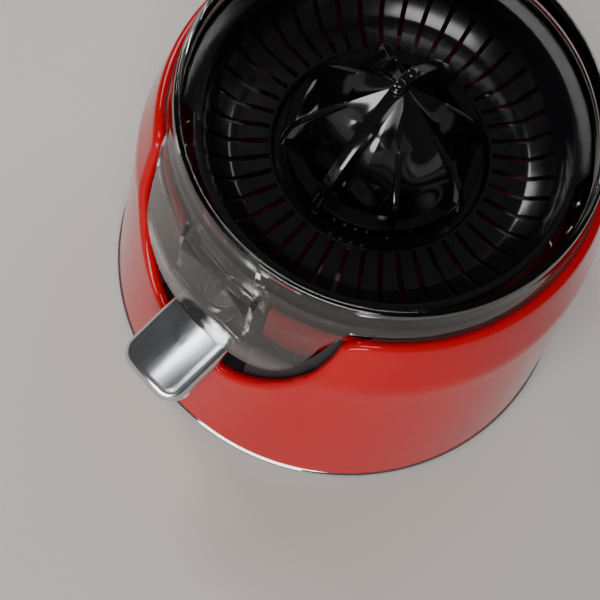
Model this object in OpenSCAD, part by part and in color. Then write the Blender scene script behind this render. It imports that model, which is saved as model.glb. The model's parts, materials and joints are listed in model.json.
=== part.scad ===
// Electric citrus press. Red body with a well, clear juice bowl with a front
// apron, black strainer and ribbed reamer, steel spout that tilts up to stop the flow.
// Millimetres. Z is up, the foot ring rests on z = 0 and the spout points along -Y.

/* [Body] */
// Height of the bowl rim above the table
rim_z = 152; // [150:1:154]
// Radius of the bright ring at the foot
base_radius = 96.9; // [95.5:0.1:98]
// Thickness of the moulded body wall
shell_wall = 2.6; // [2.2:0.1:2.8]
// Height of the rubber foot ring below the base plate
foot_height = 3.4; // [3:0.1:4]

/* [Bowl] */
// Thickness of the clear wall
bowl_wall = 2.4; // [2:0.1:2.6]
// Half width of the front apron
apron_half_width = 45; // [43:0.5:46]
// How far the apron reaches below the rim
apron_drop = 65; // [62:0.5:66]

/* [Strainer] */
// Number of slots
slot_count = 44; // [36:1:52]
// Width of one slot
slot_width = 2; // [1.4:0.1:2.4]

/* [Reamer] */
// Radius of the reamer at its foot
reamer_radius = 40; // [38:0.5:40.5]
// Height of the reamer tip above the rim
reamer_rise = 25; // [23:1:28]
// Number of ribs, the two tall blades included
rib_count = 8; // [6:2:10]

/* [Spout] */
// Outside width of the steel hood
spout_width = 31; // [28:0.5:31]
// Slope of the spout below horizontal
spout_slope = 24; // [22:1:26]
// Distance from the juicer axis to the spout tip
spout_reach = 118; // [112:1:120]

/* [Drive] */
// Radius of the motor can
motor_radius = 22; // [20:0.5:22.5]
// Clearance between teeth, as a share of the tooth pitch
tooth_play = 0.06; // [0.05:0.01:0.1]

/* [Hidden] */
$fn = 96;
eps = 0.01;

// heights of the main levels
plate_z = foot_height;
plate_thick = 3;
ring_top = plate_z + 3;
lip_z = rim_z - 18.5;
deck_top = rim_z - 47;
deck_thick = 3;
deck_z = deck_top - deck_thick;
skirt_z = rim_z - 17;
bay_floor = rim_z - 88;
notch_flat = rim_z - 84;

// radii of the body
well_radius = 80.2;
well_wall = 2;
well_top = lip_z - 5.5;
post_radius = 4.6;
post_ring = 72;
shoulder_depth = 50;
shoulder_radius = 92;

// body outline: a straight shoulder, then a gentle flare down to the ring
function body_radius(z) =
    let (d = rim_z - z, t = max(0, d - shoulder_depth) / (rim_z - plate_z - shoulder_depth))
    d < shoulder_depth ? shoulder_radius - 0.2 * (shoulder_depth - d)
                       : shoulder_radius + (base_radius - shoulder_radius) * pow(t, 1.2);

// a vertical strip of heights from a to b
function levels(a, b, n) = [for (i = [0:n]) a + (b - a) * i / n];

// layer of the body wall between two inward distances
module body_layer(inner, outer, z0, z1, n = 18) {
    up = levels(z0, z1, n);
    down = levels(z1, z0, n);
    rotate_extrude()
        polygon(concat([for (z = up) [body_radius(z) - outer, z]],
                       [for (z = down) [body_radius(z) - inner, z]]));
}

// half-oval front opening, flat at the bottom, drawn in x and z
module oval(half_width, depth, power, centre, flat, top) {
    n = 24;
    low = centre - flat;
    end = acos(pow(min(1, low / depth), power / 2));
    pts = [for (i = [0:n]) let (a = end + (90 - end) * i / n)
               [half_width * pow(max(0, sin(a)), 2 / power),
                centre - depth * pow(max(0, cos(a)), 2 / power)]];
    polygon(concat([for (p = pts) p], [[half_width, top], [-half_width, top]],
                   [for (i = [n:-1:0]) [-pts[i][0], pts[i][1]]]));
}

// turns a drawing in x and z into a solid reaching forward from y = near
module forward(near, far) {
    translate([0, -near, 0]) rotate([90, 0, 0]) linear_extrude(far - near) children();
}

module notch_outline(grow = 0) {
    oval(51 + grow, 63.4 + grow, 2, rim_z - 25.2, notch_flat - grow, rim_z);
    // the opening flares where it meets the lip
    for (side = [-1, 1]) scale([side, 1]) difference() {
        translate([50 + grow, lip_z - 7]) square([7, 12]);
        translate([58 + grow, lip_z - 8]) circle(7.6);
    }
}

module apron_outline() {
    oval(apron_half_width, 52, 2.6, skirt_z, rim_z - apron_drop, skirt_z + 3);
    for (side = [-1, 1]) scale([side, 1]) difference() {
        translate([apron_half_width - 1, skirt_z - 4]) square([5, 5]);
        translate([apron_half_width + 4.2, skirt_z - 4]) circle(4);
    }
}

module ring(outer, inner, z0, z1) {
    translate([0, 0, z0]) difference() {
        cylinder(r = outer, h = z1 - z0);
        translate([0, 0, -1]) cylinder(r = inner, h = z1 - z0 + 2);
    }
}

module post_places() {
    for (a = [45:90:315]) rotate(a) translate([post_ring, 0, 0]) children();
}

// ---------------------------------------------------------------- drive layout
gear_floor = rim_z - 84;
gear_floor_thick = 3;
stage_one = gear_floor + 5;
stage_two = gear_floor + 15;
lid_z = gear_floor + 26;
lid_thick = 3;
tooth = 1;
pinion_teeth = 10;
wheel_teeth = 40;
small_teeth = 12;
output_teeth = 48;
idler_gap = (small_teeth + output_teeth) * tooth / 2;
motor_gap = (pinion_teeth + wheel_teeth) * tooth / 2;
motor_side = 205;
idler_at = [0, idler_gap];
motor_at = idler_at + motor_gap * [cos(motor_side), sin(motor_side)];
motor_screw_gap = 8.5;
ear_x = 36;
ear_ys = [-8, 42];
mesh_angle = 25;

function flank(rb, r) = let (a = acos(min(1, rb / r))) tan(a) * 180 / PI - a;

function gear_points(n, steps = 4) =
    let (rp = n * tooth / 2, rb = rp * cos(mesh_angle), ra = rp + 0.85 * tooth,
         rr = rp - 1.15 * tooth, start = max(rb, rr + 0.01),
         half = 90 / n * (1 - tooth_play * 2) + flank(rb, rp))
    [for (k = [0:n - 1]) let (c = k * 360 / n)
        each concat(
            [rr * [cos(c - half), sin(c - half)]],
            [for (i = [0:steps]) let (r = start + (ra - start) * i / steps, a = c - half + flank(rb, r))
                r * [cos(a), sin(a)]],
            [for (i = [steps:-1:0]) let (r = start + (ra - start) * i / steps, a = c + half - flank(rb, r))
                r * [cos(a), sin(a)]],
            [rr * [cos(c + half), sin(c + half)]])];

module gear(n, height) {
    linear_extrude(height) polygon(gear_points(n));
}

module ear_places() {
    for (x = [-ear_x, ear_x], y = ear_ys) translate([x, y, 0]) children();
}

module hexagon(flat) {
    circle(r = flat / 2 / cos(30), $fn = 6);
}

// ---------------------------------------------------------------- stand
module base_plate() {
    color("dimgray") difference() {
        union() {
            translate([0, 0, plate_z]) cylinder(r = base_radius - 3.6, h = plate_thick);
            // upstand inside the shell wall
            ring(base_radius - 4.4, base_radius - 6.4, plate_z, plate_z + 8);
            // stand-offs for the board and the terminal block
            for (x = [24, 56]) translate([x, -30, plate_z]) cylinder(r = 3.2, h = 12);
            for (x = [-10, 10]) translate([x, 70, plate_z]) cylinder(r = 3, h = 8);
        }
        post_places() translate([0, 0, plate_z - 1]) cylinder(r = 2.3, h = plate_thick + 2);
        post_places() translate([0, 0, plate_z - 1]) cylinder(r = 4.4, h = 2.6);
        ring(85, 81, plate_z - 1, plate_z + 1.5);
        for (x = [24, 56]) translate([x, -30, plate_z + 2]) cylinder(r = 1.25, h = 20);
        // cooling slots under the motor
        for (i = [-3:3]) translate([motor_at[0] - 16, motor_at[1] + i * 6 - 1.25, 0]) cube([32, 2.5, 20]);
    }
}

// one non-slip ring, its tongue seated in a groove of the plate
module foot_ring() {
    color("black") rotate_extrude() {
        polygon([[80, 0], [86, 0], [87, 1], [87, foot_height], [79, foot_height], [79, 1]]);
        translate([81.03, foot_height - eps]) square([3.94, 1.4]);
    }
}

module base_ring() {
    color("silver") rotate_extrude() difference() {
        union() {
            translate([base_radius - 3.4, plate_z - 0.2]) square([2, 3.2]);
            translate([base_radius - 0.7, plate_z + 1.4]) circle(1.5);
            translate([base_radius - 2.6, plate_z - 0.1]) square([1.9, 3]);
        }
        translate([base_radius - 4, ring_top - 0.1]) square([5, 2]);
    }
}

module shell() {
    lip_r = 2.75;
    lip_c = body_radius(lip_z) - lip_r - 0.15;
    color("red") difference() {
        union() {
            // outer wall
            body_layer(shell_wall, 0, ring_top, lip_z - lip_r);
            // rolled lip that caps the well
            rotate_extrude() difference() {
                union() {
                    translate([lip_c, lip_z - lip_r]) circle(lip_r);
                    translate([well_radius, well_top + 0.02])
                        square([lip_c - well_radius, lip_z - lip_r * 0.4 - well_top]);
                }
                translate([well_radius - 4, 0]) square([4, rim_z]);
                translate([0, 0]) square([well_radius + well_wall + 0.4, well_top + 0.02]);
            }
        }
        forward(40, 120) notch_outline();
        // hole for the inlet bush
        translate([0, base_radius - 12, 20]) rotate([-90, 0, 0]) cylinder(r = 6.05, h = 30);
    }
}

// well that takes the bowl, with the deck, the turret and the posts below it
module well() {
    color("red") difference() {
        union() {
            ring(well_radius + well_wall, well_radius, deck_z, well_top);
            ring(well_radius + well_wall, 11.5, deck_z, deck_top);
            ring(14, 11.5, deck_z, deck_top + 10);
            ring(14, 7.1, deck_top + 7.6, deck_top + 10);
            // screw posts
            post_places() translate([0, 0, plate_z + plate_thick + 0.1])
                cylinder(r = post_radius, h = deck_z - plate_z - plate_thick);
            // bosses that carry the gearbox
            ear_places() translate([0, 0, lid_z + lid_thick + 2.1])
                cylinder(r = 4.6, h = deck_z - lid_z - lid_thick - 2);
        }
        // opening for the sump, the ears and the spout
        translate([-23, -100, deck_z - 1]) cube([46, 43, rim_z]);
        post_places() cylinder(r = 2, h = plate_z + 24);
        ear_places() translate([0, 0, lid_z]) cylinder(r = 2, h = deck_z - lid_z + 1.6);
    }
}

module spout_bay() {
    top = deck_z - 0.2;
    color("black") difference() {
        union() {
            // sheet behind the edge of the notch
            intersection() {
                body_layer(6.6, 4.4, bay_floor, lip_z - 6, 6);
                forward(40, 120) oval(54, 66, 2, rim_z - 25.2, bay_floor + 0.5, rim_z);
            }
            // pocket
            intersection() {
                translate([-26, -90, bay_floor]) cube([52, 34, top - bay_floor]);
                cylinder(r = body_radius(bay_floor) - 5.6, h = rim_z);
            }
        }
        // open above the deck, a band is left along the edge
        intersection() {
            forward(40, 130) oval(46.4, 52, 2.2, rim_z - 20, rim_z - 79, rim_z + 9);
            translate([-60, -130, top]) cube([120, 100, 80]);
        }
        translate([-23.6, -100, bay_floor + 2]) cube([47.2, 42.4, rim_z]);
        ring(well_radius + well_wall + 0.3, 10, top, rim_z);
    }
}

module rim_gasket() {
    color("black") difference() {
        ring(82.6, well_radius - 0.1, lip_z + 0.02, skirt_z - 0.22);
        forward(40, 120) notch_outline(-1);
    }
}

module cord_gland() {
    color("black") translate([0, body_radius(20) - 8, 20]) rotate([-90, 0, 0]) difference() {
        union() {
            cylinder(r = 6, h = 14);
            translate([0, 0, 8.4]) cylinder(r = 8.5, h = 2.4);
            translate([0, 0, 1]) cylinder(r = 8, h = 2);
            for (i = [0:2]) translate([0, 0, 11.2 + i * 2.2]) cylinder(r = 6.6 - i * 0.4, h = 1.4);
            cylinder(r = 5.4, h = 18);
        }
        translate([0, 0, -1]) cylinder(r = 3.6, h = 22);
    }
}

// ---------------------------------------------------------------- drive
module gearbox_outline(grow = 0) {
    idler_room = wheel_teeth * tooth / 2 + 5;
    circle(30 + grow);
    translate(idler_at) circle(idler_room + grow);
    translate([-idler_room - grow, 0]) square([2 * (idler_room + grow), idler_gap]);
    translate(motor_at) circle(14.5 + grow);
}

module ear_outline() {
    for (y = ear_ys) translate([-ear_x, y - 5]) square([2 * ear_x, 10]);
    for (x = [-ear_x, ear_x], y = ear_ys) translate([x, y]) circle(5);
}

module gearbox_housing() {
    leg_x = 16.2;
    color("gainsboro") difference() {
        union() {
            translate([0, 0, gear_floor]) linear_extrude(lid_z - gear_floor) gearbox_outline();
            translate([0, 0, lid_z - 4]) linear_extrude(4) ear_outline();
            translate([0, 0, gear_floor - 2]) cylinder(r = 8, h = 4);
            // leg that carries the switch
            translate([leg_x, -5, gear_floor - 24]) cube([3, 10, 25]);
        }
        translate([0, 0, gear_floor + gear_floor_thick])
            linear_extrude(lid_z) gearbox_outline(-2.5);
        translate([0, 0, gear_floor - 3]) cylinder(r = 5.05, h = 20);
        translate([motor_at[0], motor_at[1], gear_floor - 1]) {
            cylinder(r = 5, h = 10);
            for (s = [-1, 1]) translate([s * motor_screw_gap, 0, 0]) cylinder(r = 1.6, h = 10);
        }
        translate([idler_at[0], idler_at[1], gear_floor + 1]) cylinder(r = 2.5, h = 20);
        ear_places() translate([0, 0, lid_z - 6]) cylinder(r = 2.1, h = 10);
    }
}

module gearbox_lid() {
    color("gainsboro") difference() {
        union() {
            translate([0, 0, lid_z]) linear_extrude(lid_thick) {
                gearbox_outline();
                ear_outline();
            }
            translate([0, 0, lid_z]) cylinder(r = 9, h = 18);
            translate([idler_at[0], idler_at[1], lid_z - 0.5]) cylinder(r = 4.6, h = 2);
        }
        translate([0, 0, lid_z - 1]) cylinder(r = 6, h = 30);
        translate([idler_at[0], idler_at[1], lid_z - 2]) cylinder(r = 2.5, h = 3.6);
        ear_places() translate([0, 0, lid_z - 1]) cylinder(r = 2.1, h = 10);
    }
}

module gearbox_mounts() {
    color("black") ear_places() ring(4.6, 2.1, lid_z + lid_thick, lid_z + lid_thick + 2.1);
}

can_z = plate_z + 12;

module motor_can() {
    color("silver") translate([motor_at[0], motor_at[1], 0]) difference() {
        union() {
            translate([0, 0, can_z]) cylinder(r = motor_radius, h = gear_floor - can_z - 1.2);
            translate([0, 0, gear_floor - 1.3]) cylinder(r = motor_radius - 1.2, h = 1.3);
        }
        translate([0, 0, can_z - 1]) cylinder(r = motor_radius - 1.4, h = gear_floor - can_z - 1.6);
        translate([0, 0, gear_floor - 5]) cylinder(r = 4, h = 8);
        for (s = [-1, 1]) translate([s * motor_screw_gap, 0, gear_floor - 5]) cylinder(r = 1.35, h = 8);
    }
}

module motor_cap() {
    color("black") translate([motor_at[0], motor_at[1], 0]) difference() {
        union() {
            translate([0, 0, can_z - 4]) cylinder(r = motor_radius, h = 4);
            translate([0, 0, can_z - eps]) cylinder(r = motor_radius - 1.45, h = 3);
            translate([0, 0, can_z - 7]) cylinder(r = 6, h = 8);
        }
        translate([0, 0, can_z - 8]) cylinder(r = 4, h = 14);
        for (s = [-1, 1]) translate([s * 14 - 1, -3, can_z - 5]) cube([2, 6, 12]);
    }
}

module motor_magnets() {
    color("dimgray") translate([motor_at[0], motor_at[1], 0]) intersection() {
        ring(motor_radius - 1.45, motor_radius - 5.6, can_z + 6, gear_floor - 8);
        translate([-60, -14, 0]) cube([120, 28, 100]);
    }
}

module motor_bushes() {
    color("goldenrod") translate([motor_at[0], motor_at[1], 0]) {
        ring(4, 1.63, can_z - 6.5, can_z + 0.5);
        ring(4, 1.63, gear_floor - 3.2, gear_floor + 1);
    }
}

module motor_rotor() {
    core_z = can_z + 9;
    core_h = gear_floor - can_z - 20;
    core_r = motor_radius - 6.2;
    slots = 7;
    color("peru") translate([motor_at[0], motor_at[1], 0]) {
        translate([0, 0, can_z - 7.5]) cylinder(r = 1.6, h = stage_one + 9 - can_z + 7.5);
        difference() {
            translate([0, 0, core_z]) cylinder(r = core_r, h = core_h);
            for (i = [0:slots - 1]) rotate(i * 360 / slots) translate([core_r - 2.5, -0.9, core_z - 1])
                cube([5, 1.8, core_h + 2]);
        }
        // winding heads and commutator
        translate([0, 0, core_z - 3]) cylinder(r = core_r - 3.4, h = core_h + 6);
        translate([0, 0, can_z + 3.4]) cylinder(r = 4.6, h = 4);
    }
}

module pinion() {
    color("goldenrod") translate([motor_at[0], motor_at[1], stage_one - 0.5]) rotate(motor_side - 180) difference() {
        gear(pinion_teeth, 9);
        translate([0, 0, -1]) cylinder(r = 1.6, h = 12);
    }
}

module idler_gear() {
    color("ivory") translate([idler_at[0], idler_at[1], 0]) difference() {
        union() {
            // turned so that a gap faces the pinion
            rotate(motor_side - 22.5 * 360 / wheel_teeth) translate([0, 0, stage_one]) gear(wheel_teeth, 8);
            rotate(180 / small_teeth) translate([0, 0, stage_one + 7]) gear(small_teeth, lid_z - stage_one - 8);
        }
        translate([0, 0, gear_floor]) cylinder(r = 2.55, h = 40);
        // lightened web
        translate([0, 0, stage_one + 5.5]) rotate_extrude() translate([8.5, 0]) square([7.5, 10]);
        translate([0, 0, stage_one - 7.5]) rotate_extrude() translate([6, 0]) square([10, 10]);
    }
}

module idler_axle() {
    color("silver") translate([idler_at[0], idler_at[1], gear_floor + 1.1]) cylinder(r = 2.48, h = lid_z - gear_floor);
}

hub_gap = 0.3;
hex_flat = 8;

module output_gear() {
    color("ivory") difference() {
        union() {
            translate([0, 0, stage_two]) gear(output_teeth, 8);
            translate([0, 0, stage_two - 3]) cylinder(r = 8.5, h = lid_z - stage_two + 3 - hub_gap);
        }
        translate([0, 0, gear_floor]) linear_extrude(60) hexagon(hex_flat + 0.1);
        translate([0, 0, stage_two + 6]) rotate_extrude() translate([11, 0]) square([9, 10]);
        translate([0, 0, stage_two - 8]) rotate_extrude() translate([11, 0]) square([9, 10]);
    }
}

press = 3;
spindle_top = rim_z - 2;
drive_flat = 10;

module spindle() {
    color("silver") {
        translate([0, 0, gear_floor - 7.7]) cylinder(r = 3, h = 19.8);
        translate([0, 0, gear_floor + 11]) cylinder(r = 5.6, h = 0.8);
        translate([0, 0, gear_floor + 12]) linear_extrude(15) hexagon(hex_flat);
        translate([0, 0, gear_floor + 26.9]) cylinder(r = 4, h = 25);
        translate([0, 0, deck_top + 14.5]) linear_extrude(spindle_top - deck_top - 15.5) hexagon(drive_flat);
        intersection() {
            translate([0, 0, spindle_top - 1.1]) linear_extrude(1.1) hexagon(drive_flat);
            translate([0, 0, spindle_top - 1.1]) cylinder(r1 = 6, r2 = 4.6, h = 1.1);
        }
    }
}

module spindle_bushes() {
    color("goldenrod") {
        ring(5, 3.03, gear_floor - 2, gear_floor + 3.4);
        ring(6, 4.03, lid_z + 4, lid_z + 18);
    }
}

module spindle_seal() {
    color("dimgray") rotate_extrude() {
        translate([4.15, deck_top + 7.6]) square([2.9, 2.5]);
        translate([4.15, deck_top + 10]) square([4.8, 1.2]);
        translate([4.15, deck_top + 11]) polygon([[0, 0], [2.4, 0], [0.7, 0.4], [0, 0.4]]);
    }
}

module return_spring() {
    turns = 4;
    wire = 0.45;
    coil = 4.2;
    low = gear_floor + 4;
    pitch = (7 - 2 * wire) / turns;
    steps = 12;
    color("silver") for (i = [0:turns]) translate([0, 0, low + wire + i * pitch])
        rotate_extrude() translate([coil, 0]) circle(wire, $fn = 16);
    // risers join one coil to the next
    color("silver") for (i = [0:turns - 1]) rotate(i * 360 / steps * 2) translate([coil, 0, low + wire + i * pitch])
        cylinder(r = wire * 0.8, h = pitch);
}

module micro_switch() {
    color("darkslategray") difference() {
        union() {
            translate([-4, -3.2, gear_floor - 22]) cube([20, 6.4, 10]);
            for (x = [-2, 6, 13]) translate([x, -0.4, gear_floor - 26]) cube([2.4, 0.8, 5]);
        }
        translate([0, 0, gear_floor - 17]) cylinder(r = 1.6, h = 10);
        for (x = [2.9, 12.4]) translate([x, -5, gear_floor - 19]) rotate([-90, 0, 0]) cylinder(r = 1.1, h = 10);
    }
}

module switch_plunger() {
    color("red") {
        translate([0, 0, gear_floor - 13]) cylinder(r = 1.5, h = 4.7);
        translate([0, 0, gear_floor - 8.4]) cylinder(r1 = 1.5, r2 = 0.9, h = 0.6);
    }
}

module circuit_board() {
    color("darkgreen") difference() {
        translate([19, -44, plate_z + 12]) cube([42, 28, 1.6]);
        for (x = [24, 56]) translate([x, -30, plate_z]) cylinder(r = 1.6, h = 20);
    }
}

module board_parts() {
    top = plate_z + 13.6;
    color("royalblue") {
        translate([30, -37, top]) cylinder(r = 5, h = 16);
        translate([36.5, -42, top]) cube([6, 12, 13]);
        translate([48, -24, top]) cylinder(r = 4.5, h = 6);
        translate([47, -42, top]) cube([10, 5, 8]);
        translate([31, -23, top]) cube([9, 5, 3]);
    }
}

module terminal_block() {
    color("ivory") translate([0, 0, plate_z + 8]) difference() {
        translate([-14, 65, 0]) cube([28, 10, 9]);
        for (x = [-9, 0, 9]) translate([x, 64, 5.5]) rotate([-90, 0, 0]) cylinder(r = 1.6, h = 12);
        for (x = [-9, 0, 9]) translate([x, 70, 6]) cylinder(r = 1.8, h = 5);
    }
}

// pan head screw standing on its tip, head at the bottom
module screw(radius, length, head) {
    cylinder(r = head, h = radius);
    translate([0, 0, radius - eps]) cylinder(r = radius, h = length);
}

module base_screws() {
    color("silver") post_places() translate([0, 0, plate_z - 0.4]) difference() {
        screw(1.95, 18, 3.9);
        translate([0, 0, -1]) linear_extrude(2) hexagon(2.5);
    }
}

module gearbox_screws() {
    color("silver") ear_places() translate([0, 0, lid_z - 6 + eps]) difference() {
        screw(1.95, 13, 3.9);
        translate([0, 0, -1]) linear_extrude(2) hexagon(2.5);
    }
}

module motor_screws() {
    color("silver") for (s = [-1, 1])
        translate([motor_at[0] + s * motor_screw_gap, motor_at[1], gear_floor + gear_floor_thick + 1.35]) rotate([180, 0, 0])
            screw(1.3, 6, 2.8);
}

module board_screws() {
    color("silver") for (x = [24, 56]) translate([x, -30, plate_z + 15]) rotate([180, 0, 0])
        screw(1.2, 7, 2.4);
}

// ---------------------------------------------------------------- juice side
seat_radius = 79.4;
sump_half = 19.4;
sump_wall = 2.2;
sump_z = rim_z - 58;
tube_y = -76.5;
pivot_y = -64;
pivot_z = rim_z - 68;
close_tilt = 7;
pad_top = -2.6;

module bowl_profile() {
    inside = seat_radius - bowl_wall;
    // wall, skirt and seat
    polygon([[inside + 0.6, rim_z - 1], [80, rim_z - 1], [80.3, rim_z - 6], [82.3, skirt_z],
             [seat_radius, skirt_z - 0.1], [seat_radius, deck_top + 4], [seat_radius - 3, deck_top + 0.3],
             [15, deck_top + 0.3], [15, rim_z - 28], [17, rim_z - 28], [17, deck_top + 2.8],
             [inside - 4, deck_top + 3.2], [inside, deck_top + 7]]);
    translate([79, rim_z - 1]) circle(1);
    translate([inside + 1.6, rim_z - 1]) circle(1);
    translate([inside + 1.6, rim_z - 1]) square([79 - inside - 1.6, 1]);
    // foot ring that stands on the deck
    translate([66, deck_top + 0.03]) square([2.4, 1]);
}

// closes the bowl wall off to the sump region in plan
module sump_block(half, z0, z1, inner, outer) {
    intersection() {
        translate([-half, -100, z0]) cube([2 * half, 100 + inner, z1 - z0]);
        rotate_extrude() translate([0, z0]) square([outer, z1 - z0]);
    }
}

module bowl() {
    apron_in = 3.2;
    apron_out = 1.2;
    back = 58.9;
    color("lightblue", 0.4) difference() {
        union() {
            rotate_extrude() bowl_profile();
            // apron over the front notch
            intersection() {
                body_layer(apron_in, apron_out, rim_z - apron_drop - 1, skirt_z + 0.6, 16);
                forward(60, 120) apron_outline();
            }
            // sump: a low trough inside the wall, closed by cheeks between wall and apron
            difference() {
                union() {
                    sump_block(sump_half, sump_z, deck_top + 3, -back, 88.8);
                    intersection() {
                        sump_block(sump_half, sump_z, skirt_z - 4, -back, 88.8);
                        ring(90, seat_radius - bowl_wall + 0.3, sump_z, rim_z);
                    }
                }
                sump_block(sump_half - sump_wall, sump_z + 2.2, rim_z, -back - 2, 90);
            }
            for (s = [-1, 1]) translate([s * (sump_half - sump_wall / 2), pivot_y, 0]) {
                translate([-sump_wall / 2, -6, pivot_z]) cube([sump_wall, 12, sump_z - pivot_z + 1]);
                translate([-sump_wall / 2, 0, pivot_z]) rotate([0, 90, 0]) cylinder(r = 6, h = sump_wall);
            }
            translate([0, tube_y, pivot_z - 6]) cylinder(r = 6.5, h = sump_z - pivot_z + 7);
        }
        // opening from bowl floor into the sump
        sump_block(sump_half - sump_wall, sump_z + 2.2, skirt_z - 4.5, -back - 2, seat_radius + 1);
        translate([0, tube_y, 0]) cylinder(r = 4.5, h = sump_z + 3);
        // slanted end of the outlet tube, square to the pad when the spout is up
        translate([0, pivot_y, pivot_z]) rotate([-close_tilt, 0, 0])
            translate([-10, -30, pad_top + 0.25 - 20]) cube([20, 30, 20]);
        translate([-30, pivot_y, pivot_z]) rotate([0, 90, 0]) cylinder(r = 1.5, h = 60);
    }
}

module strainer() {
    low = rim_z - 34.6;
    wall = 2;
    color("black") difference() {
        union() {
            rotate_extrude() polygon([
                [17.3, low - 3.8], [39.5, low - 3.8], [42.4, low], [56.7, low - wall], [66, low + 4.6],
                [70.6, low + 9.6],
                [71.2, rim_z - 15], [72.4, rim_z - 15], [72.4, rim_z - 13.6], [69.6, rim_z - 13.6],
                [68.4, rim_z - 24], [65.2, low + 6.8], [56.4, low], [41.6, low + wall],
                [40.7, low - 1.8], [19.4, low - 1.8], [19.4, rim_z - 26], [15.4, rim_z - 26], [15.4, rim_z - 27.95],
                [17.3, rim_z - 27.95]]);
            // grip flange round the back
            rotate(28) rotate_extrude(angle = 202) translate([70, rim_z - 15]) square([6.5, 1.6]);
        }
        for (i = [0:slot_count - 1]) rotate(-92.5 + i * 360 / slot_count)
            translate([43, -slot_width / 2, low - 5]) cube([22.8, slot_width, 17]);
    }
}

// radius of the ribs' edge against height
function dome_radius(z) =
    let (foot = rim_z - 30, t = (z - foot) / (rim_z + reamer_rise - foot))
    reamer_radius * (1 - pow(t, 1.9));

// heights and radii of one side, a share of the full size, cut off near the tip
function dome_side(share, top_share, inset = 0, start = 0) =
    let (foot = rim_z - 30, tip = foot + (reamer_rise + 30) * top_share)
    [for (z = levels(foot + start, tip, 14)) [max(0.4, dome_radius(z) * share - inset), z - inset * 0.6]];

module dome(share, top_share, inset = 0) {
    side = dome_side(share, top_share, inset);
    polygon(concat([[0, side[0][1]]], side, [[0, side[14][1]]]));
}

// two opposite ribs as one upright plate
module rib_pair(share, thick, top_share) {
    side = dome_side(share, top_share, 0, 0.5);
    rotate([90, 0, 0]) translate([0, 0, -thick / 2]) linear_extrude(thick)
        polygon(concat(side, [for (i = [14:-1:0]) [-side[i][0], side[i][1]]]));
}

module reamer() {
    foot = rim_z - 30;
    spread = 360 / rib_count;
    body_share = 0.86;
    wall = 3;
    skirt = reamer_radius * 0.94;
    color("black") difference() {
        union() {
            rotate_extrude() dome(body_share, 0.95);
            for (i = [0:rib_count / 2 - 1]) rotate(-85 + i * spread)
                if (i == 0) rib_pair(1, 4, 0.985);
                else rib_pair(0.97, 2.6, 0.8);
            ring(skirt, reamer_radius * body_share - wall + 1, foot - 1, foot + 7);
        }
        // hollow round the drive socket
        difference() {
            union() {
                rotate_extrude() dome(body_share, 0.88, wall);
                translate([0, 0, foot - 2]) cylinder(r = reamer_radius * body_share - wall + 1.1, h = 3.2);
            }
            cylinder(r = 9, h = rim_z + 30);
        }
        translate([0, 0, foot - 2]) linear_extrude(spindle_top + 0.05 - foot + 2) hexagon(drive_flat + 0.3);
        // fine slots in the skirt
        for (i = [0:rib_count - 1], k = [-1.5:1:1.5]) rotate(-85 + (i + 0.5) * spread + k * 6.5)
            translate([skirt - 1.2, -0.5, foot - 2]) cube([3, 1, 7]);
    }
}

// ---------------------------------------------------------------- spout
crest_z = rim_z - 70;
hood_height = 11;
hood_wall = 1;
rear_reach = 84.5;

module spout_frame() {
    translate([0, -90, crest_z]) rotate([spout_slope, 0, 0]) children();
}

module arch(half, height, rise, drop = 0) {
    n = 12;
    polygon(concat([[half, -height]],
                   [for (i = [0:2 * n]) let (a = i * 90 / n)
                       [half * sign(cos(a)) * pow(abs(cos(a)), 0.72), -drop - rise + rise * pow(sin(a), 0.8)]],
                   [[-half, -height]]));
}

module spout_hood() {
    rear = (90 - rear_reach) / cos(spout_slope);
    front = (spout_reach - 90) / cos(spout_slope);
    half = spout_width / 2;
    corner = 7;
    color("silver") spout_frame() difference() {
        intersection() {
            translate([0, rear, 0]) rotate([90, 0, 0]) linear_extrude(rear + front) arch(half, hood_height, 6);
            // tip rounded in plan
            translate([0, 0, -30]) linear_extrude(40) union() {
                translate([-half, -front + corner]) square([2 * half, rear + front - corner]);
                for (s = [-1, 1]) translate([s * (half - corner), -front + corner]) circle(corner);
                translate([-half + corner, -front]) square([2 * (half - corner), front]);
            }
        }
        intersection() {
            translate([0, rear + 1, -hood_wall]) rotate([90, 0, 0])
                linear_extrude(rear + front + 1 - hood_wall) arch(half - hood_wall, hood_height + 3, 5.4);
            translate([0, 0, -31]) linear_extrude(42) union() {
                translate([-half + 1, -front + corner]) square([2 * half - 2, rear + front]);
                for (s = [-1, 1]) translate([s * (half - corner), -front + corner]) circle(corner - 1);
                translate([-half + corner, -front + 1]) square([2 * (half - corner), front]);
            }
        }
    }
}

module spout_chute() {
    cup_z = pivot_z + pad_top - 5.4;
    half = spout_width / 2 - hood_wall - 0.05;
    run = (spout_reach - 90) / cos(spout_slope) - 10;
    cup_front = -79.6;
    color("dimgray") difference() {
        union() {
            // cup under the outlet tube, reaching back to the pivot
            translate([-half - 1.6, cup_front, cup_z]) cube([2 * half + 3.2, -cup_front - 60, 10.5]);
            translate([-half + 0.3, -rear_reach + 0.5, cup_z]) cube([2 * half - 0.6, rear_reach + cup_front, 3.4]);
            for (s = [-1, 1]) translate([s * (half + 0.6) - 1, pivot_y, pivot_z]) rotate([0, 90, 0])
                cylinder(r = 3.6, h = 2);
            // trough under the hood
            spout_frame() translate([-half, -run, -hood_height]) cube([2 * half, run + 8, 5]);
        }
        translate([-half + 1, -rear_reach - 4, cup_z + 2]) cube([2 * half - 2, rear_reach - 58.5, 20]);
        spout_frame() translate([-half + 1.2, -run - 1, -hood_height + 1.4]) cube([2 * half - 2.4, run + 6, 12]);
        translate([-30, pivot_y, pivot_z]) rotate([0, 90, 0]) cylinder(r = 1.55, h = 60);
        translate([0, tube_y, cup_z + 0.6]) cylinder(r = 3, h = 5);
    }
}

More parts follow.
